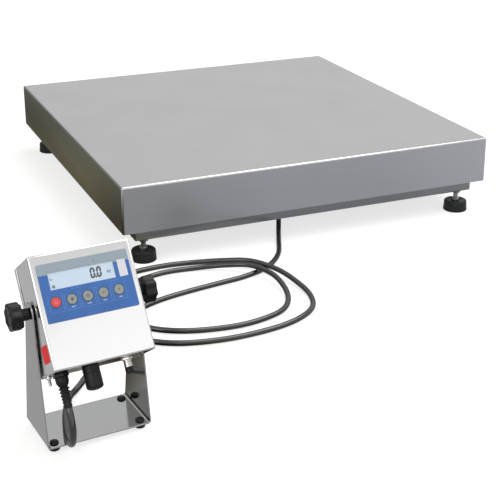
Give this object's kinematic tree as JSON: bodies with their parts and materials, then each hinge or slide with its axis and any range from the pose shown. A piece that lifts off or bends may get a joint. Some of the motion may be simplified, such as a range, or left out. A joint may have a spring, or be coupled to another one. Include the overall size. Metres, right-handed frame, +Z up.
{
  "type": "platform scale",
  "caption": "Bench platform scale: a square stainless pan on a tube frame with levelling feet, joined by a cable to a weighing indicator that tilts on a bent stand.",
  "frame": {"origin": "centre of the weighing pan's flat top face", "axes": "+Z up out of the weighing face, +X to the right along the pan's front edge, +Y to the back; the indicator stands in front at the left"},
  "size_m": [1.1266, 1.4221, 0.2788],
  "materials": {
    "satin_stainless": "satin ground",
    "bright_stainless": "bright brushed",
    "zinc_steel": "zinc plated",
    "cell_aluminium": "milled",
    "black_rubber": "moulded",
    "black_plastic": "moulded",
    "cable_jacket": "smooth",
    "connector_nickel": "nickel plated",
    "overlay_blue": "printed film",
    "display_clear": "clear lens over a pale display",
    "key_grey": "printed film",
    "key_red": "printed film",
    "board_green": "solder mask",
    "level_green": "clear vial with green liquid"
  },
  "bodies": {
    "base": {"pan_pad_fl": "black_rubber", "pan_pad_fr": "black_rubber", "pan_pad_bl": "black_rubber", "pan_pad_br": "black_rubber", "upper_frame_beam": "satin_stainless", "upper_frame_arm_front": "satin_stainless", "upper_frame_arm_back": "satin_stainless", "load_cell": "cell_aluminium", "lower_spacer": "zinc_steel", "upper_spacer": "zinc_steel", "lower_frame_front": "satin_stainless", "lower_frame_back": "satin_stainless", "lower_frame_left": "satin_stainless", "lower_frame_right": "satin_stainless", "lower_cross_member": "satin_stainless", "overload_stop_fl": "zinc_steel", "overload_stop_fr": "zinc_steel", "overload_stop_bl": "zinc_steel", "overload_stop_br": "zinc_steel", "platform_gland": "black_plastic", "load_cell_lead": "cable_jacket", "signal_cable": "cable_jacket", "cable_tail": "cable_jacket", "spirit_level": "level_green", "stand_bracket": "bright_stainless", "stand_foot_fl": "black_rubber", "stand_foot_fr": "black_rubber", "stand_foot_bl": "black_rubber", "stand_foot_br": "black_rubber"},
    "pan": {"weighing_pan": "satin_stainless"},
    "foot_fl": {"foot_stud_fl": "zinc_steel", "foot_disc_fl": "black_rubber"},
    "foot_fr": {"foot_stud_fr": "zinc_steel", "foot_disc_fr": "black_rubber"},
    "foot_bl": {"foot_stud_bl": "zinc_steel", "foot_disc_bl": "black_rubber"},
    "foot_br": {"foot_stud_br": "zinc_steel", "foot_disc_br": "black_rubber"},
    "housing": {"housing_shell": "bright_stainless", "housing_gasket": "black_rubber", "back_cover": "bright_stainless", "keypad_overlay": "overlay_blue", "display_window": "display_clear", "display_module": "board_green", "main_board": "board_green", "pivot_washer_left": "black_rubber", "pivot_washer_right": "black_rubber", "cable_gland": "black_plastic", "cable_relief": "black_rubber", "port_socket": "black_plastic", "round_connector": "connector_nickel", "connector_insert": "black_plastic"},
    "key_power": {"key_power": "key_red"},
    "key_print": {"key_print": "key_grey"},
    "key_units": {"key_units": "key_grey"},
    "key_zero": {"key_zero": "key_grey"},
    "key_tare": {"key_tare": "key_grey"},
    "knob_left": {"knob_left": "black_plastic"},
    "knob_right": {"knob_right": "black_plastic"},
    "port_cap": {"port_cap": "black_plastic"}
  },
  "joints": [
    {"name": "pan_lift", "type": "slide", "parent": "base", "child": "pan", "axis": [0, 0, 1], "range_m": [0, 0.14]},
    {"name": "foot_fl_thread", "type": "slide", "parent": "base", "child": "foot_fl", "axis": [0, 0, 1], "range_m": [-0.012, 0.009]},
    {"name": "foot_fr_thread", "type": "slide", "parent": "base", "child": "foot_fr", "axis": [0, 0, 1], "range_m": [-0.012, 0.009]},
    {"name": "foot_bl_thread", "type": "slide", "parent": "base", "child": "foot_bl", "axis": [0, 0, 1], "range_m": [-0.012, 0.009]},
    {"name": "foot_br_thread", "type": "slide", "parent": "base", "child": "foot_br", "axis": [0, 0, 1], "range_m": [-0.012, 0.009]},
    {"name": "housing_tilt", "type": "hinge", "parent": "base", "child": "housing", "pos_m": [-0.618, -0.925, 0.035], "axis": [0.9962, 0.0872, 0], "range_deg": [-40, 40], "deforming": ["cable_tail"]},
    {"name": "knob_left_turn", "type": "hinge", "parent": "housing", "child": "knob_left", "pos_m": [-0.618, -0.925, 0.035], "axis": [-0.9962, -0.0872, 0], "range_deg": [0, 360]},
    {"name": "knob_right_turn", "type": "hinge", "parent": "housing", "child": "knob_right", "pos_m": [-0.618, -0.925, 0.035], "axis": [0.9962, 0.0872, 0], "range_deg": [0, 360]},
    {"name": "key_power_press", "type": "slide", "parent": "housing", "child": "key_power", "axis": [-0.0726, 0.8298, -0.5534], "range_m": [0, 0.0004], "stiffness_N_per_m": 600},
    {"name": "key_print_press", "type": "slide", "parent": "housing", "child": "key_print", "axis": [-0.0726, 0.8298, -0.5534], "range_m": [0, 0.0004], "stiffness_N_per_m": 600},
    {"name": "key_units_press", "type": "slide", "parent": "housing", "child": "key_units", "axis": [-0.0726, 0.8298, -0.5534], "range_m": [0, 0.0004], "stiffness_N_per_m": 600},
    {"name": "key_zero_press", "type": "slide", "parent": "housing", "child": "key_zero", "axis": [-0.0726, 0.8298, -0.5534], "range_m": [0, 0.0004], "stiffness_N_per_m": 600},
    {"name": "key_tare_press", "type": "slide", "parent": "housing", "child": "key_tare", "axis": [-0.0726, 0.8298, -0.5534], "range_m": [0, 0.0004], "stiffness_N_per_m": 600},
    {"name": "port_cap_off", "type": "slide", "parent": "housing", "child": "port_cap", "axis": [0.0482, -0.5513, -0.8329], "range_m": [0, 0.03]}
  ]
}
